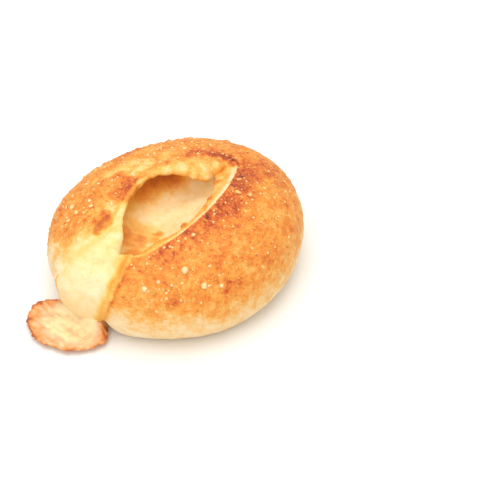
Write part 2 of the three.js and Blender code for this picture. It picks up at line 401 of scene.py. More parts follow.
class Skin:
    """The visible surface of bread and cheese together, as a grid of rings and stations."""

    STATIONS = 448

    def __init__(self, bun: Bun, mouth: Mouth, stream: Stream) -> None:
        """Lays the grid and gives it the roll's unevenness.

        Args:
            bun: the outside of the roll.
            mouth: the slash and the hollow.
            stream: the cheese on the outside.
        """
        self.bun = bun
        self.mouth = mouth
        self.stream = stream
        self.share = np.arange(self.STATIONS) / self.STATIONS
        self.path = self._path()
        self.grid = self._laid()
        self._roughen()
        self.normal = normals(self.grid)

    def _path(self) -> Array:
        """Gives how far along each ring lies: the number of whole zones passed, and the share of its own."""
        return np.array([zone.value[0] + step for zone in Zone for step in zone.steps] + [len(Zone)])

    def station_values(self, values: tuple[float, ...]) -> Array:
        """Spreads one value for each station of the mouth over the grid's stations."""
        return closed_curve(np.array(values, float)[:, None], self.share)[:, 0]

    def _laid(self) -> Array:
        """Lays the smooth grid, before it is roughened.

        Returns:
            Points by ring and station.
        """
        mouth, bun = self.mouth, self.bun
        crust, inner, widest, edge = [
            closed_curve(np.array(points, float), self.share)
            for points in (mouth.crust, mouth.inner, mouth.widest, mouth.floor_edge)
        ]
        turns = np.unwrap(np.radians(mouth.outward))
        laps = np.append(turns, turns[0] + 2 * math.pi)
        outward = np.interp(self.share * len(turns), np.arange(len(laps)), laps)
        for _ in range(12):
            lap = np.concatenate([outward[-1:] - 2 * math.pi, outward, outward[:1] + 2 * math.pi])
            outward = (lap[:-2] + 2 * outward + lap[2:]) / 4

        # The dome, from the crust's edge down to the girth.
        edge_rise = bun.rise_at(crust)
        edge_angle = np.arctan2(crust[:, 1], crust[:, 0])
        edge_angle = outward + (edge_angle - outward + math.pi) % (2 * math.pi) - math.pi
        sag = crust[:, 2] - bun.dome(edge_angle, edge_rise)[:, 2]
        dome = []
        for step in Zone.DOME.steps:
            ring = bun.dome(edge_angle + (outward - edge_angle) * step, edge_rise * (1 - step))
            ring[:, 2] += sag * (1 - smooth(0, 0.35, step))
            dome.append(ring)

        # The lip, the overhanging wall and the floor of the hollow.
        centre = np.array(mouth.floor_middle)
        down = np.array([0.0, 0.0, -1.0])
        into = unit(widest - inner)
        inward = unit((centre - edge) * (1, 1, 0))
        ends = (inner, widest, edge, np.broadcast_to(centre, edge.shape))
        spans = [np.linalg.norm(b - a, axis=1)[:, None] for a, b in zip(ends, ends[1:])]
        over = 3 * self.station_values(mouth.lip_out)[:, None] * unit(dome[0] - dome[1])
        under = 3 * self.station_values(mouth.lip_in)[:, None] * into
        stretches = (
            (Zone.FLOOR, edge, inward * spans[2], centre, inward * spans[2]),
            (Zone.WALL, widest, down * spans[1], edge, inward * spans[1]),
            (Zone.OVERHANG, inner, into * spans[0], widest, down * spans[0]),
            (Zone.LIP, crust, over, inner, under),
        )
        grid = [
            hermite(start, leave, end, arrive, 1 - step)
            for zone, start, leave, end, arrive in stretches
            for step in zone.steps
        ]
        grid += dome

        # The rounded foot and the flat underside.
        for step in Zone.FOOT.steps:
            grid.append(bun.foot(outward, math.pi / 2 * (1 - step)))
        for step in Zone.UNDERSIDE.steps:
            grid.append(bun.foot(outward, 0) * (1 - step))
        grid.append(np.zeros_like(crust))
        return np.array(grid)

    def _roughen(self) -> None:
        """Gives the skin the lumps of risen dough, torn lips and blistered crust."""
        path = self.path[:, None]
        grid = self.grid
        outside = smooth(4, 4.3, path) * (1 - smooth(5.6, 6.2, path))
        lip = smooth(2.8, 3.2, path) * (1 - smooth(4, 4.22, path))
        away = smooth(2.95, 3.4, path)
        hollow = smooth(0, 1, path) * (1 - smooth(2.9, 3.2, path))
        puff = self.station_values(self.mouth.puff)

        # Broad swells: of the risen dough, of the hollow's walls, and of the puffed and the crisp lip.
        swell = outside * (0.55 * lumps(grid, 20) + 0.24 * lumps(grid, 7, 1))
        swell += hollow * (0.8 * lumps(grid, 10, 2) + 0.35 * lumps(grid, 4, 3) + 0.1 * lumps(grid, 1.8, 13))
        swell += lip * puff * (0.7 * lumps(grid, 6, 4) + (0.1 + 0.35 * away) * lumps(grid, 2.4, 5))
        swell += lip * (1 - puff) * (0.35 * lumps(grid, 4, 14) + 0.3 * lumps(grid, 1.7, 15))
        grid += normals(grid) * swell[..., None]

        # Fine blisters of the crust: fewer low on the side, none under the stream, more at the back.
        from_right, from_left = self.stream.inside(grid)
        crusty = outside * (0.25 + 0.75 * smooth(9, 24, grid[..., 2]))
        crusty = crusty * (1 - 0.9 * smooth(-1, 1.5, np.minimum(from_right, from_left)))
        crusty = crusty * (1 + 0.7 * smooth(12, 24, grid[..., 1]))
        fine = crusty * (0.16 * lumps(grid, 2.4, 6) + 0.14 * lumps(grid, 1.2, 7))
        fine += crusty * 0.9 * np.maximum(lumps(grid, 3.1, 8) - 0.25, 0)
        fine += crusty * 0.7 * np.maximum(lumps(grid, 1.6, 9) - 0.3, 0)

        # The mouth's own blisters and blobs.
        self.raised = np.zeros(fine.shape)
        for bump in self.mouth.blisters:
            away = np.linalg.norm(grid - (bump.x, bump.y, bump.z), axis=-1) / bump.reach
            self.raised = np.maximum(self.raised, bump.amount * np.exp(-(away**3)) * smooth(2.8, 3, path))
        grid += normals(grid) * (fine + self.raised)[..., None]
        grid[..., 2] = np.maximum(grid[..., 2], 0.02)
        self.from_right, self.from_left = self.stream.inside(grid)
        # How far the stream's welted right edge strays, in millimetres.
        self.stray = 0.9 * lumps(grid, 6, 67) + 0.6 * lumps(grid, 3, 11) + 0.3 * lumps(grid, 1.4, 12)

    def bread_sink(self) -> Array:
        """Gives how far below the skin the bread lies, in millimetres, for each ring."""
        return 1.6 * (1 - smooth(2.4, 2.75, self.path[:, None]))

    def cheese_lift(self) -> Array:
        """Gives how far above the skin the cheese lies.

        Returns:
            Distances in millimetres by ring and station, less than 0 below the skin.
        """
        path = self.path[:, None]
        level = self.grid[..., 2]
        hidden = self.stream.hidden
        wander = 0.8 * lumps(self.grid, 3, 11) + 0.4 * lumps(self.grid, 1.4, 12)
        right = smooth(-1.3, 0, self.from_right + self.stray - 0.6 * smooth(14, 5, level))
        soft = smooth(17, 27, level)
        left = smooth(-1 - 2 * soft, 1 + 7 * soft, self.from_left + wander)
        cover = right * left * smooth(5.97, 5.8, path)
        foot = 1 + self.stream.thicker_foot * smooth(5.1, 5.6, path)
        outside = (self.stream.thickness * foot + hidden) * cover - hidden
        inside = smooth(2.98, 2.78, path + 0.03 * wander)
        return outside * (1 - inside)


# ---- how brown each place is: the oven's browning, with painted shade and light in the hollow and on the lip ---
@dataclass(frozen=True)
class Bake:
    """The pattern of browning on bread and cheese, with painted shade and light in the hollow and on the torn
    lip.

    Its values are by ring and station of the skin: 0 is pale and 1 is dark, or 0 is bread and 1 cheese.
    """

    skin: Skin
    crust_spots: tuple[Spot, ...] = (
        Spot(-10.1, 15.1, 40.1, 3.4, 0.26), Spot(-16.4, 12, 39.6, 3.4, 0.28), Spot(-13, 13.5, 40, 3, 0.3),
        Spot(-10.6, 22, 39, 2.4, 0.16), Spot(-18.4, 14.1, 38.8, 2.8, 0.2), Spot(-17, 8.8, 38.7, 2.6, 0.28),
        Spot(-32.4, 5.9, 36.3, 3.4, 0.42), Spot(-28.8, 7, 36.8, 3, 0.44), Spot(-34.4, 5.6, 35.7, 2.4, 0.36),
        Spot(-28.6, 4.8, 36.6, 2.4, 0.36), Spot(-27.2, 9.4, 37.4, 2.2, 0.3),
        Spot(17, 11.6, 41, 2.6, 0.2), Spot(21.4, 12, 39.6, 2.6, 0.34), Spot(23.4, 8.8, 39.7, 2.6, 0.42),
        Spot(25.1, 6.2, 39, 2.7, 0.5), Spot(27.6, 4.5, 38.2, 2.5, 0.5), Spot(30.2, 2.9, 37.3, 2.6, 0.46),
        Spot(29.4, -0.4, 36.9, 2.2, 0.5), Spot(28, 8, 38, 3, 0.2),
        Spot(26, -10, 38, 8, 0.16), Spot(21, -16, 39, 8, 0.14), Spot(11, -21.3, 40, 6, 0.16),
        Spot(4.6, -22.1, 40.5, 5, 0.16), Spot(-4, -22.5, 40.8, 3, 0.12), Spot(-12.8, -22.8, 40.2, 3, 0.16),
        Spot(-22.7, -21.8, 38.1, 2.4, 0.14), Spot(-28, -21.4, 36.6, 2.6, 0.14), Spot(38, -12, 34, 9, 0.1),
        Spot(-8, -36.4, 34.6, 2.8, 0.15), Spot(-12, -37.5, 33.3, 2.2, 0.12),
        Spot(-32.3, -35.1, 24.4, 3.4, 0.13),
        Spot(-10.3, -44.3, 26, 3.4, 0.14), Spot(-24.4, -40.6, 24.6, 2.8, 0.1), Spot(12, -31, 36, 6, 0.1),
        Spot(2, -30, 38, 5, 0.1), Spot(-24, -28, 36, 5, 0.08), Spot(4, 38, 33, 8, 0.1),
        Spot(-20, 24, 37, 4, 0.06),
        Spot(-42, 8, 32, 6, -0.1), Spot(-48, 16, 20, 10, -0.22),
    )
    # Where cheese melted into the crust and left it yellow.
    cheesy: tuple[Spot, ...] = (
        Spot(-18.1, 28.5, 36.5, 3, 0.6), Spot(-11.7, 27.1, 37.5, 3, 0.8), Spot(-2.4, 24.5, 39.1, 4, 0.8),
        Spot(2.2, 18.8, 40.5, 3, 0.9), Spot(-6.3, 24.4, 38.9, 4, 0.9), Spot(-3.9, 18.4, 40.5, 4, 1),
        Spot(-22, 13.5, 38, 3, 0.6), Spot(-24.5, 10.5, 37.6, 3, 0.8), Spot(-9, 38, 32.4, 5, 0.4),
        Spot(10, 20, 40.6, 4, 0.6), Spot(-26, 5, 37, 3, 0.8), Spot(9, 28, 38, 4, 0.4),
        Spot(22, -26, 38, 3, 0.3),
        Spot(-30, 14, 36, 3, 0.4), Spot(32, -20, 35, 4, 0.3), Spot(-18, -30, 37, 3, 0.3),
    )
    lip_spots: tuple[Spot, ...] = (
        Spot(15.8, -6.2, 38.2, 1.9, 0.3), Spot(5.5, -13.8, 39.8, 1.4, 0.28),
        Spot(-11.9, -18.5, 39.2, 1.6, 0.34),
        Spot(1, -15.6, 39.3, 1.7, 0.3), Spot(29, -0.6, 37, 2.2, 0.6), Spot(9, 3.2, 39.6, 1.6, 0.14),
        Spot(25, 2.6, 39, 2, 0.2), Spot(20, 3, 39.6, 2.4, 0.1), Spot(24, -0.5, 38, 2, 0.16),
        Spot(-12, 11.2, 38.8, 3, 0.3), Spot(-16.6, 9, 38.8, 2.6, 0.34), Spot(-14.5, 11.6, 39.8, 3, 0.3),
    )
    # Browned spots on the floor of the hollow, seen from above. The spot at x -21, y 5.5 reaches up the left
    # wall, where it is partly painted shade.
    hollow_spots: tuple[Spot, ...] = (
        Spot(-17, 2.4, 0, 2.4, 0.5), Spot(-20.5, 1, 0, 3, 0.42), Spot(-9.8, 0.6, 0, 1.2, 0.44),
        Spot(-21, 5.5, 0, 4.6, 0.4), Spot(-15, 6.5, 0, 4, 0.24), Spot(-13, 2, 0, 4.4, 0.2),
        Spot(-24, -2.5, 0, 4.6, 0.44), Spot(-12.5, -1.2, 0, 2, 0.28),
    )
    # Painted shade under the overhanging lip, partly real browning of the cheese: how much browner it is
    # coloured, by station of the mouth. The small negative values are painted light on the shaded right
    # slope.
    vault_shade_and_toast: tuple[float, ...] = (
        -0.06, -0.06, -0.06, 0, 0.6, 0.66, 0.48, 0.22, 0.18, 0.34, 0.36, 0.2, 0.1, 0.1, 0.1, 0,
    )
    # Where the near lip dried crisp, and how softly torn dough passes into crust, by station.
    near: tuple[float, ...] = (0.9, 0.4, 0.1, 0, 0, 0, 0, 0, 0, 0, 0, 0.2, 0.6, 0.8, 1, 1.1)
    softness: tuple[float, ...] = (0.1, 0.3, 0.5, 0.6, 0.6, 0.5, 0.5, 0.4, 0.3, 0.3, 0.3, 0.2, 0.1, 0, 0, 0)
    # How brown the torn lip is and how much of its colour is cheese, by station of the mouth.
    lip_toast: tuple[float, ...] = (
        0.3, 0.32, 0.32, 0.3, 0.28, 0.26, 0.26, 0.26, 0.2, 0.14, 0.2, 0.36, 0.42, 0.42, 0.34, 0.28,
    )
    lip_cheese: tuple[float, ...] = (0.4, 0.4, 0.4, 0.4, 0.45, 0.5, 0.6, 0.7, 1, 1, 1, 1, 1, 0.9, 0.5, 0.3)

    @staticmethod
    def _joined(spots: tuple[Spot, ...], places: Array) -> Array:
        """Joins spots: where some overlap, only the strongest counts.

        Args:
            spots: the spots.
            places: points by ring and station, in millimetres.

        Returns:
            Amounts by ring and station.
        """
        more = np.zeros(places.shape[:-1])
        less = np.zeros(places.shape[:-1])
        for spot in spots:
            away = np.linalg.norm(places - (spot.x, spot.y, spot.z), axis=-1) / spot.reach
            amount = spot.amount * np.exp(-(away**4))
            more = np.maximum(more, amount)
            less = np.minimum(less, amount)
        return more + less

    @cached_property
    def bend(self) -> Array:
        """Gives shifts that make the outlines of spots ragged."""
        grid = self.skin.grid
        return np.stack([lumps(grid, 3.2, seed) + 0.5 * lumps(grid, 1.3, seed) for seed in (21, 22, 23)], -1)

    @cached_property
    def crisp(self) -> Array:
        """Tells how crisp the lip is, from 0 to 1, by station."""
        return np.clip(self.skin.station_values(self.near), 0, 1)

    @cached_property
    def torn(self) -> Array:
        """Tells where the skin is torn dough and not crust."""
        soft = self.skin.station_values(self.softness)
        wander = 0.12 * lumps(self.skin.grid, 2.2, 28)
        edge = self.skin.path[:, None] + wander * (0.3 + soft)
        return 1 - smooth(3.93 - 0.5 * soft, 4.0 + 0.16 * soft, edge)

    @cached_property
    def outer_line(self) -> Array:
        """Tells where the thin pale line runs outside the melted strip of the near lip."""
        edge = self.skin.path[:, None] + 0.04 * lumps(self.skin.grid, 2.5, 44)
        return smooth(3.64, 3.74, edge) * smooth(4.0, 3.95, edge)

    @cached_property
    def beside_stream(self) -> Array:
        """Tells how much cheese smeared the crust in and round the stream."""
        skin = self.skin
        wander = 1.6 * lumps(skin.grid, 5, 32) + 0.9 * lumps(skin.grid, 2, 33)
        soft = smooth(15, 27, skin.grid[..., 2])
        left = smooth(-1 - 7 * soft, 1 + 2 * soft, skin.from_left + wander * (0.4 + soft))
        return left * smooth(-1.2, 0.2, skin.from_right + skin.stray)

    @cached_property
    def cheese(self) -> Array:
        """Gives how much of the skin's colour is cheese."""
        skin = self.skin
        inside = smooth(3.1, 2.95, skin.path[:, None])
        share = skin.station_values(self.lip_cheese) * (1 + 0.3 * lumps(skin.grid, 4, 45))
        share = share * (1 - 0.85 * self.crisp * self.outer_line)
        patches = 0.75 * self._joined(self.cheesy, skin.grid + 2 * self.bend)
        around = np.maximum(self.beside_stream, patches)
        return np.clip(np.maximum(share * self.torn + around * (1 - self.torn), inside), 0, 1)

    @cached_property
    def toast(self) -> Array:
        """Gives how brown each point of the skin is coloured, painted shade and light included."""
        inside = smooth(3.02, 2.88, self.skin.path[:, None])
        baked = self._crust_toast() * (1 - self.torn) + self._lip_toast() * self.torn
        return baked * (1 - inside) + self._hollow_toast() * inside

    def _crust_toast(self) -> Array:
        """Gives how brown the crust is.

        Returns:
            Values by ring and station.
        """
        skin, grid, path = self.skin, self.skin.grid, self.skin.path[:, None]
        height = grid[..., 2]
        bent = grid + 1.7 * self.bend
        # Pale and floury low on the side, golden above, and mottled all over.
        level = height + 2.5 * lumps(grid, 13, 24) + lumps(grid, 5, 34)
        crust = 0.02 + 0.12 * smooth(3, 12, level) + 0.29 * smooth(9, 28, level)
        crust += 0.07 * lumps(grid, 15, 25) + 0.11 * lumps(grid, 4.5, 26) + 0.12 * lumps(grid, 1.7, 27)
        crust += 0.3 * np.maximum(lumps(grid, 2.8, 43) - 0.22, 0) * smooth(14, 22, level)
        # Browner along the near lip.
        beside_lip = skin.station_values(self.near) * smooth(4.26, 4.04, path)
        crust += (0.16 + 0.1 * lumps(grid, 3.4, 47)) * beside_lip
        # Shielded under the stream, browned in the crease at its right edge, and pale just beyond it.
        crust *= 1 - 0.55 * self.beside_stream * smooth(0, 12, skin.from_right)
        crease = np.exp(-(((skin.from_right + skin.stray + 1.3) / 0.8) ** 2))
        crust += 0.16 * crease * smooth(2, 6, height) * smooth(40, 34, height)
        beyond = np.exp(-(((skin.from_right + 6.5) / 4) ** 2)) * smooth(2, 7, height)
        crust -= 0.14 * beyond * smooth(24, 15, height)
        crust -= 0.16 * self._joined(self.cheesy, bent)
        return crust + self._joined(self.crust_spots, bent)

    def _lip_toast(self) -> Array:
        """Gives how brown the torn lip is coloured, with painted light and shade on its puffs.

        Returns:
            Values by ring and station.
        """
        skin, grid = self.skin, self.skin.grid
        band = skin.station_values(self.lip_toast) + 0.14 * lumps(grid, 3.4, 29) + 0.09 * lumps(grid, 1.5, 35)
        # Painted light and shade: the puffed tops of the lip are coloured paler and the dents between
        # browner.
        band += (0.04 - 0.1 * np.minimum(skin.raised, 0.9)) * (1 - self.crisp)
        band -= 0.22 * self.crisp * self.outer_line
        band += self._joined(self.lip_spots, grid + 0.5 * self.bend)
        band += 0.3 * self.crisp * smooth(3.2, 3.04, skin.path[:, None])
        return np.maximum(band, 0.14 * (1 - self.crisp))

    def _hollow_toast(self) -> Array:
        """Gives how brown the cheese in the hollow is coloured, on its floor and under the lip, with painted
        shade under the overhanging lip and painted light on the right slope.

        Returns:
            Values by ring and station.
        """
        grid = self.skin.grid
        floor = 0.09 + 0.07 * lumps(grid, 6, 30) + 0.07 * lumps(grid, 2, 36)
        floor += self._joined(self.hollow_spots, (grid + 1.7 * self.bend) * (1, 1, 0))
        # Painted shade, partly real browning, rising up the wall towards the overhanging lip.
        vault_shade_and_toast = smooth(1.2, 2.05, self.skin.path[:, None] + 0.16 * lumps(grid, 6, 37))
        return floor + self.skin.station_values(self.vault_shade_and_toast) * vault_shade_and_toast

    def cheese_toast(self, lift: Array) -> Array:
        """Gives how brown the cheese is: pale in the stream, browned where its edge is thin.

        Args:
            lift: how far the cheese stands above the skin, by ring and station.

        Returns:
            Values by ring and station.
        """
        skin, grid = self.skin, self.skin.grid
        level = grid[..., 2]
        rim = np.exp(-(((skin.from_right + skin.stray - 0.9) / 2.2) ** 2)) * smooth(1, 6, level) * 0.34
        left = np.exp(-(((skin.from_left - 0.3) / 1.3) ** 2)) * (1 - smooth(19, 24, level)) * 0.4
        fade = 0.2 * smooth(8, 0, skin.from_left) * smooth(19, 26, level)
        middle = 0.05 + 0.09 * smooth(25, 34, level) + 0.06 * lumps(grid, 6, 31) + 0.05 * lumps(grid, 2.2, 39)
        cover = smooth(2.95, 3.2, skin.path[:, None]) * smooth(0, 0.6, lift)
        return self.toast * (1 - cover) + (middle + rim + left + fade) * cover


# ---- making meshes --------------------------------------------------------------------------------------
class Maker:
    """Turns shapes worked out in millimetres into meshes in the frame."""

    def __init__(self, bun: Bun) -> None:
        """Finds the middle of the roll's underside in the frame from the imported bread.

        Args:
            bun: the outside of the roll.
        """
        low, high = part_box("bread_roll")
        self.middle = Vector((
            high.x - MM * float(bun.girth(0.0)),
            high.y - MM * float(bun.girth(math.pi / 2)),
            low.z,
        ))

    def placed(self, points: Array) -> Array:
        """Turns points in millimetres from the roll's middle into the frame's metres."""
        return points * MM + np.array(self.middle)

    def closed_surface(self, name: str, grid: Array, values: dict[str, Array]) -> bpy.types.Object:
        """Makes a closed surface from rings that begin and end in a single point.

        Args:
            name: the piece's name.
            grid: points in millimetres, by ring and station.
            values: named values by ring and station, for the shader.

        Returns:
            The new object, selected alone and active.
        """
        rings, stations = grid.shape[0] - 1, grid.shape[1]
        select_none()
        bpy.ops.mesh.primitive_grid_add(x_subdivisions=stations, y_subdivisions=rings, calc_uvs=False)
        piece = bpy.context.object
        piece.name = name
        mesh = piece.data
        mesh.name = name
        flat = np.empty(len(mesh.vertices) * 3, np.float32)
        mesh.vertices.foreach_get("co", flat)
        share = (flat.reshape(-1, 3) + 1) / 2
        station = np.rint(share[:, 0] * stations).astype(int) % stations
        ring = np.rint(share[:, 1] * rings).astype(int)
        mesh.vertices.foreach_set("co", self.placed(grid[ring, station]).astype(np.float32).ravel())
        for label, value in values.items():
            layer = mesh.attributes.new(label, "FLOAT", "POINT")
            layer.data.foreach_set("value", value[ring, station].astype(np.float32))
        bpy.ops.object.mode_set(mode="EDIT")
        bpy.ops.mesh.select_all(action="SELECT")
        bpy.ops.mesh.remove_doubles(threshold=1e-7)
        bpy.ops.mesh.normals_make_consistent(inside=False)
        bpy.ops.object.mode_set(mode="OBJECT")
        return piece

    def delete_where(self, piece: bpy.types.Object, doomed: Array) -> None:
        """Deletes the faces whose points are all marked.

        Args:
            piece: the object, active and selected alone.
            doomed: one truth value for each point.
        """
        mesh = piece.data
        bpy.ops.object.mode_set(mode="EDIT")
        bpy.ops.mesh.select_mode(type="FACE")
        bpy.ops.mesh.select_all(action="DESELECT")
        bpy.ops.object.mode_set(mode="OBJECT")
        for face in mesh.polygons:
            face.select = bool(all(doomed[v] for v in face.vertices))
        bpy.ops.object.mode_set(mode="EDIT")
        bpy.ops.mesh.delete(type="FACE")
        bpy.ops.object.mode_set(mode="OBJECT")

    def finish(self, piece: bpy.types.Object, nodes: tuple[str, ...]) -> None:
        """Smooths a piece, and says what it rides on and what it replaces.

        Args:
            piece: the finished object.
            nodes: the CAD nodes that it replaces.
        """
        select_none()
        piece.select_set(True)
        bpy.context.view_layer.objects.active = piece
        bpy.ops.object.shade_smooth()
        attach(piece, "root")
        if nodes:
            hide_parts(*nodes)
        triangles = sum(len(face.vertices) - 2 for face in piece.data.polygons)
        LOG.info("%s: %d triangles", piece.name, triangles)


# ---- finishes -------------------------------------------------------------------------------------------
def add_node(
    tree: bpy.types.NodeTree, kind: str, settings: dict[str, Any] | None = None,
    inputs: dict[Any, Any] | None = None,
) -> bpy.types.Node:
    """Adds a shader node with its settings and links.

    Args:
        tree: the material's node tree.
        kind: the node's type name, without the leading ShaderNode.
        settings: properties to set; "stops" gives a colour ramp's stops as (place, hex colour).
        inputs: values for sockets, or the sockets that feed them, by name or number.

    Returns:
        The new node.
    """
    node = tree.nodes.new("ShaderNode" + kind)
    for name, value in (settings or {}).items():
        if name != "stops":
            setattr(node, name, value)
            continue
        elements = node.color_ramp.elements
        while len(elements) < len(value):
            elements.new(1.0)
        for element, (place, colour) in zip(elements, value):
            element.position = place
            element.color = linear(colour)
    for name, value in (inputs or {}).items():
        if isinstance(value, bpy.types.NodeSocket):
            tree.links.new(value, node.inputs[name])
        else:
            node.inputs[name].default_value = value
    return node


def per_metre(size: float) -> float:
    """Gives the scale of a pattern on coordinates in metres, from the size of its cells in millimetres."""
    return 1 / (size * MM)


@dataclass(frozen=True)
class BakedDough:
    """Baked wheat crust, melted into cheese at its edges.

    A washed and baked wheat crust is satin, not glossy: its skin is dried starch and caramelised sugar,
    thinly oiled by the cheese. It browns in small spots, where blisters of the skin stood proud in
    the oven, and it stays pale and floury low on the side, where the next roll or the tray shaded it.
    The cheese on it browns in the same spots but stays yellower.
    """

    name: str = "baked_wheat_crust"
    roughness: tuple[float, float] = (0.46, 0.66)
    # In millimetres: the sizes of the patterns, the height of the relief and the depth of scattering.
    mottle: float = 3.0  # browned patches
    speck: float = 0.95
    pore: float = 0.6  # real pores are about 0.2, too fine to show
    grit: float = 1.5  # the smallest bits of dried cheese, with the crust round each
    relief: float = 0.3
    scatter_depth: float = 2.5
    scatter: float = 0.06  # how much of the light scatters inside
    oil: float = 0.05  # how much of the surface has a film of fat
    bread_stops: tuple[tuple[float, str], ...] = (
        (0.0, "f7e0b6"), (0.14, "f4cf92"), (0.28, "f3b258"), (0.42, "ee973a"),
        (0.58, "e07b2e"), (0.72, "cd6028"), (0.88, "ac4520"), (1.0, "7c2f18"),
    )
    cheese_stops: tuple[tuple[float, str], ...] = (
        (0.0, "fbe6b8"), (0.12, "f9da98"), (0.28, "f5c262"), (0.45, "ea9e38"),
        (0.65, "d17a28"), (1.0, "98421d"),
    )

    def make(self) -> bpy.types.Material:
        """Builds the material.

        The mesh's named values drive it: toast is how brown a place is coloured, mostly from baking but with
        painted shade and light in the hollow and on the torn lip, cheese how much of its colour is cheese,
        and grain how thickly bits of dried cheese lie on it.

        Returns:
            The new material.
        """
        material = bpy.data.materials.new(self.name)
        material.use_nodes = True
        tree = material.node_tree
        tree.nodes.clear()
        place = add_node(tree, "TexCoord").outputs["Object"]
        flow = {
            name: add_node(tree, "Attribute", {"attribute_name": name}).outputs["Fac"]
            for name in ("toast", "cheese", "grain")
        }
        noises = (
            ("mottle", self.mottle, 4, 0.65), ("speck", self.speck, 3, 0.6), ("pores", self.pore, 4, 0.65),
        )
        for name, size, detail, rough in noises:
            noise = add_node(tree, "TexNoise", None, {
                "Vector": place, "Scale": per_metre(size), "Detail": detail, "Roughness": rough,
            }).outputs["Fac"]
            centred = add_node(tree, "Math", {"operation": "SUBTRACT"}, {0: noise, 1: 0.5})
            flow[name] = centred.outputs[0]

        # Bits of dried cheese: cells of which some, picked by their random colour, hold a pale or dark dot.
        cells = add_node(tree, "TexVoronoi", None, {"Vector": place, "Scale": per_metre(self.grit)}).outputs
        colours = add_node(tree, "SeparateColor", None, {0: cells["Color"]}).outputs
        middle = add_node(
            tree, "MapRange", {"interpolation_type": "SMOOTHSTEP"},
            {"Value": cells["Distance"], 1: 0.42, 2: 0.2},
        ).outputs[0]
        for name, colour, share in (("pale_dot", colours[0], 0.38), ("dark_dot", colours[1], 0.42)):
            odds = add_node(
                tree, "Math", {"operation": "MULTIPLY_ADD"}, {0: flow["grain"], 1: share, 2: colour}
            ).outputs[0]
            picked = add_node(tree, "Math", {"operation": "GREATER_THAN"}, {0: odds, 1: 1.0}).outputs[0]
            flow[name] = add_node(tree, "Math", {"operation": "MULTIPLY"}, {0: middle, 1: picked}).outputs[0]

        # Each step is the second times the third, plus the fourth, under the first's name.
        steps = (
            # How brown: patches and dots show more where the crust is browner, and less in cheese.
            ("contrast", "toast", 0.75, 0.14),
            ("change", "mottle", 1.2, "speck"),
            ("change", "dark_dot", 0.22, "change"),
            ("change", "pale_dot", -0.4, "change"),
            ("browned", "change", "contrast", "toast"),
            ("both", "mottle", 1.0, "speck"),
            ("melted", "both", 0.2, "toast"),
            ("dot_cheese", "pale_dot", 0.2, 0.0),
            # How high: pores, specks and dots, smoother on cheese.
            ("dots", "dark_dot", 0.7, "pale_dot"),
            ("height", "dots", 0.8, "pores"),
            ("height", "height", 1.0, "speck"),
            ("crusty", "cheese", -0.6, 1.0),
            ("height", "height", "crusty", 0.0),
        )
        for name, *terms in steps:
            inputs = {k: flow.get(term, term) for k, term in enumerate(terms)}
            flow[name] = add_node(tree, "Math", {"operation": "MULTIPLY_ADD"}, inputs).outputs[0]

        yellow = add_node(
            tree, "Math", {"operation": "MAXIMUM"}, {0: flow["cheese"], 1: flow["dot_cheese"]}
        ).outputs[0]
        crust_colour, cheese_colour = [
            add_node(tree, "ValToRGB", {"stops": stops}, {"Fac": flow[name]}).outputs[0]
            for name, stops in (("browned", self.bread_stops), ("melted", self.cheese_stops))
        ]
        colour = add_node(
            tree, "Mix", {"data_type": "RGBA"}, {"Factor": yellow, 6: crust_colour, 7: cheese_colour}
        ).outputs[2]
        bump = add_node(
            tree, "Bump", None, {"Height": flow["height"], "Distance": self.relief * MM, "Strength": 0.9}
        ).outputs["Normal"]
        low, high = self.roughness
        rough = add_node(tree, "MapRange", None, {"Value": flow["speck"], 1: -0.3, 2: 0.3, 3: low, 4: high})
        shader = add_node(tree, "BsdfPrincipled", {"subsurface_method": "RANDOM_WALK"}, {
            "Base Color": colour,
            "Roughness": rough.outputs[0],
            "Normal": bump,
            "IOR": 1.45,
            "Specular IOR Level": 0.35,
            "Subsurface Weight": self.scatter,
            "Subsurface Radius": (1.0, 0.55, 0.25),
            "Subsurface Scale": self.scatter_depth * MM,
            "Coat Weight": self.oil,
            "Coat Roughness": 0.3,
        })
        add_node(tree, "OutputMaterial", None, {"Surface": shader.outputs[0]})
        return material


@dataclass(frozen=True)
class MeltedCheese(BakedDough):
    """Mild white cheese that melted, ran and set.

    Set cheese is a smooth, fatty gel with a soft gloss and faint wrinkles along the way it ran. It lies
    here in a sheet too thin to glow, so its yellow is all in the surface colour.
    """

    name: str = "melted_mild_cheese"
    roughness: tuple[float, float] = (0.36, 0.5)
    relief: float = 0.26
    scatter: float = 0.0
    oil: float = 0.12


@dataclass(frozen=True)
class FriedCheese(BakedDough):
    """Cheese that ran onto the hot tray and fried to a thin crisp.

    It fries dry from the edge inwards: red-brown and brittle at the rim, pale and leathery in the
    middle, with faint rosy patches where fat pooled under it.
    """

    name: str = "fried_cheese_skirt"
    roughness: tuple[float, float] = (0.42, 0.6)
    relief: float = 0.25
    scatter: float = 0.0
    oil: float = 0.08
    cheese_stops: tuple[tuple[float, str], ...] = (
        (0.0, "fbe8b4"), (0.15, "f6daa2"), (0.32, "e9ba8c"), (0.5, "e89c56"),
        (0.7, "c8703a"), (1.0, "8c4028"),
    )


@dataclass(frozen=True)
class ToastedCrumb(BakedDough):
    """Small bits of grated cheese that dried hard in the oven.

    They are drier than the melted cheese, so they are paler than the crust and nearly matt.
    """

    name: str = "toasted_cheese_crumb"
    roughness: tuple[float, float] = (0.5, 0.65)
    relief: float = 0.1
    scatter: float = 0.0
    cheese_stops: tuple[tuple[float, str], ...] = (
        (0.0, "f8dca8"), (0.15, "f6cb88"), (0.3, "f2b262"), (0.5, "e68f3c"), (1.0, "98421d"),
    )


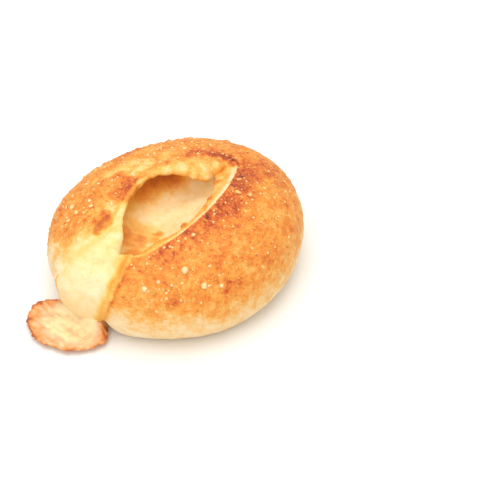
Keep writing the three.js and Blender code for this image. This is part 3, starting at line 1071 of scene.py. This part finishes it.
# ---- the pieces -----------------------------------------------------------------------------------------
@dataclass(frozen=True)
class RollCrust:
    """The baked bread: dome, torn lips, side, foot and underside, with the hollow sunk into it."""

    bake: Bake

    def build(self, maker: Maker) -> bpy.types.Object:
        """Lays the bread on the skin, and below it in the hollow, where cheese lines it.

        Args:
            maker: what turns the shape into a mesh.

        Returns:
            The finished piece.
        """
        skin, cheese = self.bake.skin, self.bake.cheese
        grid = skin.grid - skin.normal * skin.bread_sink()[..., None]
        grain = smooth(10, 26, grid[..., 2]) * smooth(3.9, 4.05, skin.path[:, None]) * (1 - 0.8 * cheese)
        values = {"toast": self.bake.toast, "cheese": cheese, "grain": grain}
        crust = maker.closed_surface("baked_roll_crust", grid, values)
        crust.data.materials.append(BakedDough().make())
        maker.finish(crust, ("bread_roll",))
        return crust


@dataclass(frozen=True)
class PouredCheese:
    """The cheese in the hollow, with the stream that ran over the end of the slash and down the side."""

    bake: Bake
    wall: float = 1.0  # thickness, in millimetres, as are the next two
    lowest: float = 0.3  # how far above the floor it ends
    buried: float = -0.45  # cheese further below the skin than this is left out

    def build(self, maker: Maker) -> bpy.types.Object:
        """Shapes the cheese on the skin, leaves out what would be buried, and thickens it.

        Args:
            maker: what turns the shape into a mesh.

        Returns:
            The finished piece.
        """
        skin = self.bake.skin
        lift = skin.cheese_lift()
        toast = self.bake.cheese_toast(lift)
        wrinkles = 0.42 * lumps(skin.grid * (0.5, 1.4, 0.6), 2.4, 41) + 0.7 * lumps(skin.grid, 5, 42)
        wrinkles = (wrinkles + 0.08 * lumps(skin.grid, 1.2, 46)) * smooth(3.4, 4, skin.path[:, None])
        grid = skin.grid + skin.normal * (lift + wrinkles * smooth(0.2, 0.8, lift))[..., None]
        grid[..., 2] = np.maximum(grid[..., 2], self.lowest)
        cheese = np.maximum(self.bake.cheese, smooth(0, 0.5, lift))
        values = {"toast": toast, "cheese": cheese, "grain": np.zeros_like(toast), "lift": lift}
        poured = maker.closed_surface("poured_cheese", grid, values)
        mesh = poured.data
        depth = np.empty(len(mesh.vertices), np.float32)
        mesh.attributes["lift"].data.foreach_get("value", depth)
        maker.delete_where(poured, depth < self.buried)
        mesh.attributes.remove(mesh.attributes["lift"])
        thicken = poured.modifiers.new("wall", "SOLIDIFY")
        thicken.thickness = self.wall * MM
        thicken.offset = -1
        thicken.thickness_clamp = 1.5
        bpy.ops.object.modifier_apply(modifier=thicken.name)
        mesh.materials.append(MeltedCheese().make())
        maker.finish(poured, ("melted_cheese",))
        return poured


@dataclass(frozen=True)
class CheeseSkirt:
    """The cheese that set on the tray: a thin ragged sheet, raised and browned at its edge.

    Lengths are in millimetres. The radii are evenly spread round its middle, anticlockwise from +X.
    """

    x: float = -52.6
    y: float = 2.6
    radii: tuple[float, ...] = (
        9, 9.5, 10.5, 12, 12.4, 12.2, 15.6, 17.2, 17.6, 17.4, 17, 17, 16.4, 16, 16, 16.4, 17, 17.6, 18.6,
        17, 14.8, 12.2, 9.8, 9.2,
    )
    middle_height: float = 1.0
    edge_height: float = 2.3
    middle_half: float = 0.7  # half of its thickness
    edge_half: float = 0.28
    joint: tuple[float, float] = (48.0, 54.5)  # from the roll's middle, where it rises to meet the stream
    joint_height: float = 4.5
    left_toast: float = 140.0  # directions in degrees in which the oven browned it more
    right_toast: float = 288.0
    stations: int = 360
    rings: int = 64

    def build(self, maker: Maker) -> bpy.types.Object:
        """Shapes the sheet from rings that run out over its top and back under it.

        Args:
            maker: what turns the shape into a mesh.

        Returns:
            The finished piece.
        """
        share = np.arange(self.stations) / self.stations
        angle = share * 2 * math.pi
        outline = closed_curve(np.array(self.radii, float)[:, None], share)[:, 0]
        ring = np.linspace(0, 1, self.rings + 1)
        reach = np.sin(np.minimum(ring, 1 - ring) * math.pi)[:, None] + 0 * angle
        edge = np.stack([outline * np.cos(angle), outline * np.sin(angle), 0 * angle], axis=-1)
        ragged = 0.5 * lumps(edge, 5, 65) + 0.8 * lumps(edge, 1.9, 52) + 0.4 * lumps(edge, 0.9, 53)
        radius = outline * reach + ragged * smooth(0.5, 1, reach)
        x = self.x + radius * np.cos(angle)
        y = self.y + radius * np.sin(angle)
        flat = np.stack([x, y, 0 * x], axis=-1)
        out = radius / outline
        top = ring[:, None] < 0.5

        # Its middle level, which rises and curls towards the edge, and half of its thickness.
        half = self.middle_half + (self.edge_half - self.middle_half) * np.clip(out, 0, 1) ** 2
        half = half * np.sqrt(np.maximum(1 - reach**12, 0)) * np.where(top, 1, -1)
        level = self.middle_height + (self.edge_height - self.middle_height) * np.clip(out, 0, 1.1) ** 3
        level += (0.5 * lumps(flat, 8, 54) + 0.3 * lumps(flat, 3.4, 55)) * smooth(0.2, 0.7, out)
        level += 0.6 * lumps(flat, 3, 56) * smooth(0.8, 1.05, out)

        # Ripples and wrinkles on top, and the rise to the stream.
        ripples = lumps(flat * (1.6, 0.4, 1), 2.4, 66)
        rough = 0.16 * lumps(flat, 1.5, 57) + 0.08 * lumps(flat, 0.8, 62) + 0.45 * ripples
        joined = smooth(self.joint[1], self.joint[0], np.hypot(x, y)) ** 1.5
        rough += self.joint_height * joined * smooth(1, 0.8, reach)
        z = np.maximum(level + half + rough * top, 0.05 + 0.02 * (half > 0))

        # Pale in the middle, browner outwards, most of all on two sides and at the rim.
        toast = 0.16 + 0.17 * lumps(flat, 5.5, 58) + 0.13 * lumps(flat, 2.4, 59) + 0.06 * lumps(flat, 1, 63)
        toast -= 0.14 * ripples + 0.12 * joined
        left, right = [np.cos(angle - math.radians(side)) for side in (self.left_toast, self.right_toast)]
        toast += 0.2 * smooth(0.4, 0.9, out) * smooth(0.2, 0.9, left)
        toast += 0.2 * smooth(0.6, 0.98, out) * smooth(0.8, 1, right)
        rim = smooth(0.9, 1.04, out + 0.1 * lumps(flat, 2.5, 60))
        toast += rim * (0.36 + 0.25 * lumps(flat, 4, 61)) + 0.15 * smooth(0.5, 0.9, out)
        values = {"toast": toast, "cheese": np.ones_like(toast), "grain": np.zeros_like(toast)}
        skirt = maker.closed_surface("cheese_skirt", np.stack([x, y, z], axis=-1), values)
        skirt.data.materials.append(FriedCheese().make())
        maker.finish(skirt, ("melted_cheese",))
        return skirt


@dataclass(frozen=True)
class GratedCrumbs:
    """Bits of grated cheese that dried and toasted on the crust, half sunk into it."""

    # Bigger bits: x, y and size in millimetres.
    placed: tuple[tuple[float, float, float], ...] = (
        (-23.6, -31.8, 3.1), (-20.7, -39.1, 2.6), (-37.8, -25.5, 2.2), (-33.1, -27.9, 1.9), (-15, -42.4, 1.5),
        (-30, -31.7, 1.2), (-26.7, -33.9, 1.1), (-35.1, -31.8, 1.2), (-29.7, -36.4, 1.3), (-24.1, -41.2, 1.1),
        (-37.7, -31.7, 1.1), (-26.6, -28.5, 1), (-14.4, -46.4, 1.1), (-25.6, -42.2, 1), (-11.8, -46.5, 1.2),
        (15.5, -18.2, 2.6), (19.3, -21.2, 2.2), (14.8, -23.9, 1.4), (22, -11.4, 1.4), (23.8, -14.2, 1.3),
        (-12.8, -24.7, 1.8), (-16.1, -23.8, 1.4), (-18.6, -23, 1.3), (-22.5, -22.6, 1.3), (-24.2, -21.2, 1.2),
        (2.4, -29.7, 1.1), (3.5, -44.7, 1), (37.6, -12.3, 1.3), (28, -20, 1.2), (24, -22, 1.3),
        (-31.9, 24.9, 2.5), (-28.4, 17.1, 2), (-26.9, 20.1, 1.7), (-32.2, 16.9, 1.7), (-33.4, 20.2, 1.9),
        (-20.2, 30.7, 1.4), (-18.6, 24.9, 1.6), (-27.1, 31, 1.4), (-37.1, 20.6, 1.8), (-23, 11.3, 1.5),
        (20, 10, 1.7), (25.3, 19.9, 1.6), (19, 16.9, 1.8), (13.2, 24.9, 1.5), (4.5, 14.9, 1.5), (30, 14, 1.4),
        (22, 22, 1.2), (16, 21, 1.1), (8, 30, 1.2), (0, 33, 1.3), (-9, 33, 1.2), (24, -7, 1.2),
    )
    scattered: int = 640
    smallest: float = 0.4
    largest: float = 1.25
    stations: int = 10
    rings: int = 5
    grainless: float = 0.25  # no bits lie where the crust's grain is less
    steepest: float = 0.15  # nor where it is steeper: the upward share of its normal
    seed: int = 7

    def _places(self, bun: Bun, rng: np.random.Generator) -> list[tuple[float, float, float]]:
        """Adds small bits at random to the placed ones.

        Args:
            bun: the outside of the roll, which tells where the crust is.
            rng: the random numbers.

        Returns:
            x, y and size of each bit, in millimetres.
        """
        bits = list(self.placed)
        while len(bits) < len(self.placed) + self.scattered:
            turn = rng.uniform(0, 2 * math.pi)
            out = math.sqrt(rng.uniform(0.05, 0.9))
            reach = out * float(bun.girth(turn))
            size = self.smallest + (self.largest - self.smallest) * rng.random() ** 3
            if rng.random() < 1.1 - out * 0.6:
                bits.append((reach * math.cos(turn), reach * math.sin(turn), size))
        return bits

    @staticmethod
    def _lump(ball: Array, size: float, rng: np.random.Generator) -> Array:
        """Presses and dents a ball into one bit of cheese.

        Args:
            ball: the points of a ball one across.
            size: how big the bit is, in millimetres.
            rng: the random numbers.

        Returns:
            The bit's points in millimetres.
        """
        lump = ball * (1.05, rng.uniform(0.75, 1), rng.uniform(0.42, 0.58)) * size
        lump = lump + unit(ball) * (rng.normal(0, 0.085, (len(ball), 1)) * size)
        spin = rng.uniform(0, 2 * math.pi)
        turn = np.array([[math.cos(spin), math.sin(spin)], [-math.sin(spin), math.cos(spin)]])
        return np.column_stack([lump[:, :2] @ turn, lump[:, 2] + 0.02 * size])

    def build(self, maker: Maker, bun: Bun, crust: bpy.types.Object) -> bpy.types.Object:
        """Scatters the bits over the crust.

        Args:
            maker: what turns the shape into a mesh.
            bun: the outside of the roll, which tells where the crust is.
            crust: the bread, which the bits sit on.

        Returns:
            The finished piece.
        """
        select_none()
        bpy.ops.mesh.primitive_uv_sphere_add(segments=self.stations, ring_count=self.rings, radius=0.5)
        crumbs = bpy.context.object
        ball = np.array([v.co for v in crumbs.data.vertices])
        ball_faces = sorted(tuple(f.vertices) for f in crumbs.data.polygons)  # they come in no fixed order
        rng = np.random.default_rng(self.seed)
        ground = crust.data
        tree = BVHTree.FromPolygons([v.co for v in ground.vertices], [f.vertices for f in ground.polygons])
        points, faces, toasts = [], [], []
        for x, y, size in self._places(bun, rng):
            above = maker.middle + Vector((x, y, 80)) * MM
            hit, normal, index, _ = tree.ray_cast(above, Vector((0, 0, -1)))
            corner = ground.polygons[index].vertices[0]
            grain = ground.attributes["grain"].data[corner].value
            if grain < self.grainless or normal.z < self.steepest:
                continue
            turned = np.array(normal.to_track_quat("Z", "Y").to_matrix())
            start = len(ball) * len(points)
            points.append(np.array(hit) + self._lump(ball, size, rng) @ turned.T * MM)
            faces += [tuple(start + k for k in face) for face in ball_faces]
            toast = 0.1 + 0.3 * ground.attributes["toast"].data[corner].value + rng.normal(0, 0.04)
            toasts.append(np.clip(toast + 0.06 - 0.5 * ball[:, 2], 0, 0.5))
        mesh = crumbs.data
        mesh.clear_geometry()
        mesh.from_pydata(np.concatenate(points).tolist(), [], faces)
        toast = np.concatenate(toasts)
        values = {"toast": toast, "cheese": np.ones_like(toast), "grain": np.zeros_like(toast)}
        for label, value in values.items():
            mesh.attributes.new(label, "FLOAT", "POINT").data.foreach_set("value", value.astype(np.float32))
        crumbs.name = "grated_crumbs"
        mesh.name = "grated_crumbs"
        mesh.materials.append(ToastedCrumb().make())
        maker.finish(crumbs, ())
        return crumbs


# ---- the studio -----------------------------------------------------------------------------------------
@dataclass(frozen=True)
class Studio:
    """A plain pale floor, a soft key from above, soft fill from the front, and the camera."""

    azimuth: float = -43.0  # in degrees, as is the elevation
    elevation: float = 42.0
    lens: float = 100.0
    distance: float = 549.0  # in millimetres, as are the next three
    aside: float = 28.46  # how far the roll stands left of the middle of the view
    above: float = 9.09  # and how far above it
    waist: float = 20.0  # the height that the camera and the lights face
    floor_half: float = 3.0  # in metres, as are the next three
    softbox: float = 0.6
    # Where the lights stand from the waist: to the camera's right, away from it, and up.
    key_place: tuple[float, float, float] = (0.02, 0.07, 0.8)
    fill_place: tuple[float, float, float] = (-0.1, -0.4, 0.56)
    ambient: float = 0.7
    key_watts: float = 3.15
    fill_watts: float = 1.8

    def _axes(self) -> tuple[Vector, Vector, Vector]:
        """Gives the camera's directions.

        Returns:
            Where it looks, its right and its up.
        """
        turn, tilt = math.radians(self.azimuth), math.radians(self.elevation)
        look = Vector((-math.sin(turn) * math.cos(tilt), math.cos(turn) * math.cos(tilt), -math.sin(tilt)))
        right = Vector((math.cos(turn), math.sin(turn), 0))
        return look, right, right.cross(look)

    def _light(self, name: str, place: Vector, target: Vector, watts: float) -> None:
        """Adds a square soft light that faces the roll.

        Args:
            name: the light's name.
            place: where it stands, in metres.
            target: what it faces.
            watts: its power.
        """
        light = bpy.data.lights.new(name, "AREA")
        light.shape = "SQUARE"
        light.size = self.softbox
        light.energy = watts
        holder = bpy.data.objects.new(name, light)
        bpy.context.scene.collection.objects.link(holder)
        holder.location = place
        holder.rotation_euler = (target - place).to_track_quat("-Z", "Y").to_euler()

    def build(self, maker: Maker) -> None:
        """Adds the camera, the floor, the lights and the white surround.

        Args:
            maker: what knows where the roll stands.
        """
        look, right, up = self._axes()
        waist = maker.middle + Vector((0, 0, self.waist * MM))
        aim = waist + (self.aside * right - self.above * up) * MM
        camera = bpy.data.objects.new("camera", bpy.data.cameras.new("camera"))
        camera.data.lens = self.lens
        camera.data.clip_start = 0.01
        camera.data.clip_end = 20
        camera.location = aim - look * self.distance * MM
        camera.rotation_euler = look.to_track_quat("-Z", "Y").to_euler()
        bpy.context.scene.collection.objects.link(camera)
        bpy.context.scene.camera = camera

        select_none()
        bpy.ops.mesh.primitive_plane_add(size=2 * self.floor_half, location=(0, 0, 0))
        floor = bpy.context.object
        floor.name = "pale_floor"
        paper = bpy.data.materials.new("white_studio_paper")
        paper.use_nodes = True
        surface = paper.node_tree.nodes["Principled BSDF"]
        surface.inputs["Base Color"].default_value = linear("f6f4f0")
        surface.inputs["Roughness"].default_value = 0.9
        surface.inputs["Specular IOR Level"].default_value = 0.2
        floor.data.materials.append(paper)

        flat = Vector((look.x, look.y, 0)).normalized()
        lights = (
            ("key_softbox", self.key_place, self.key_watts),
            ("fill_softbox", self.fill_place, self.fill_watts),
        )
        for name, (aside, away, rise), watts in lights:
            place = waist + right * aside + flat * away + Vector((0, 0, rise))
            self._light(name, place, waist, watts)
        world = bpy.data.worlds.new("white_surround")
        bpy.context.scene.world = world
        world.use_nodes = True
        background = world.node_tree.nodes["Background"]
        background.inputs["Color"].default_value = (1, 1, 1, 1)
        background.inputs["Strength"].default_value = self.ambient
        bpy.context.scene.view_settings.view_transform = "Standard"


def main() -> None:
    """Builds the roll and the studio."""
    logging.basicConfig(level=logging.INFO, format="%(message)s")
    bun = Bun()
    maker = Maker(bun)
    Studio().build(maker)
    bake = Bake(Skin(bun, Mouth(), Stream()))
    crust = RollCrust(bake).build(maker)
    PouredCheese(bake).build(maker)
    CheeseSkirt().build(maker)
    GratedCrumbs().build(maker, bun, crust)


if __name__ == "__main__":
    main()
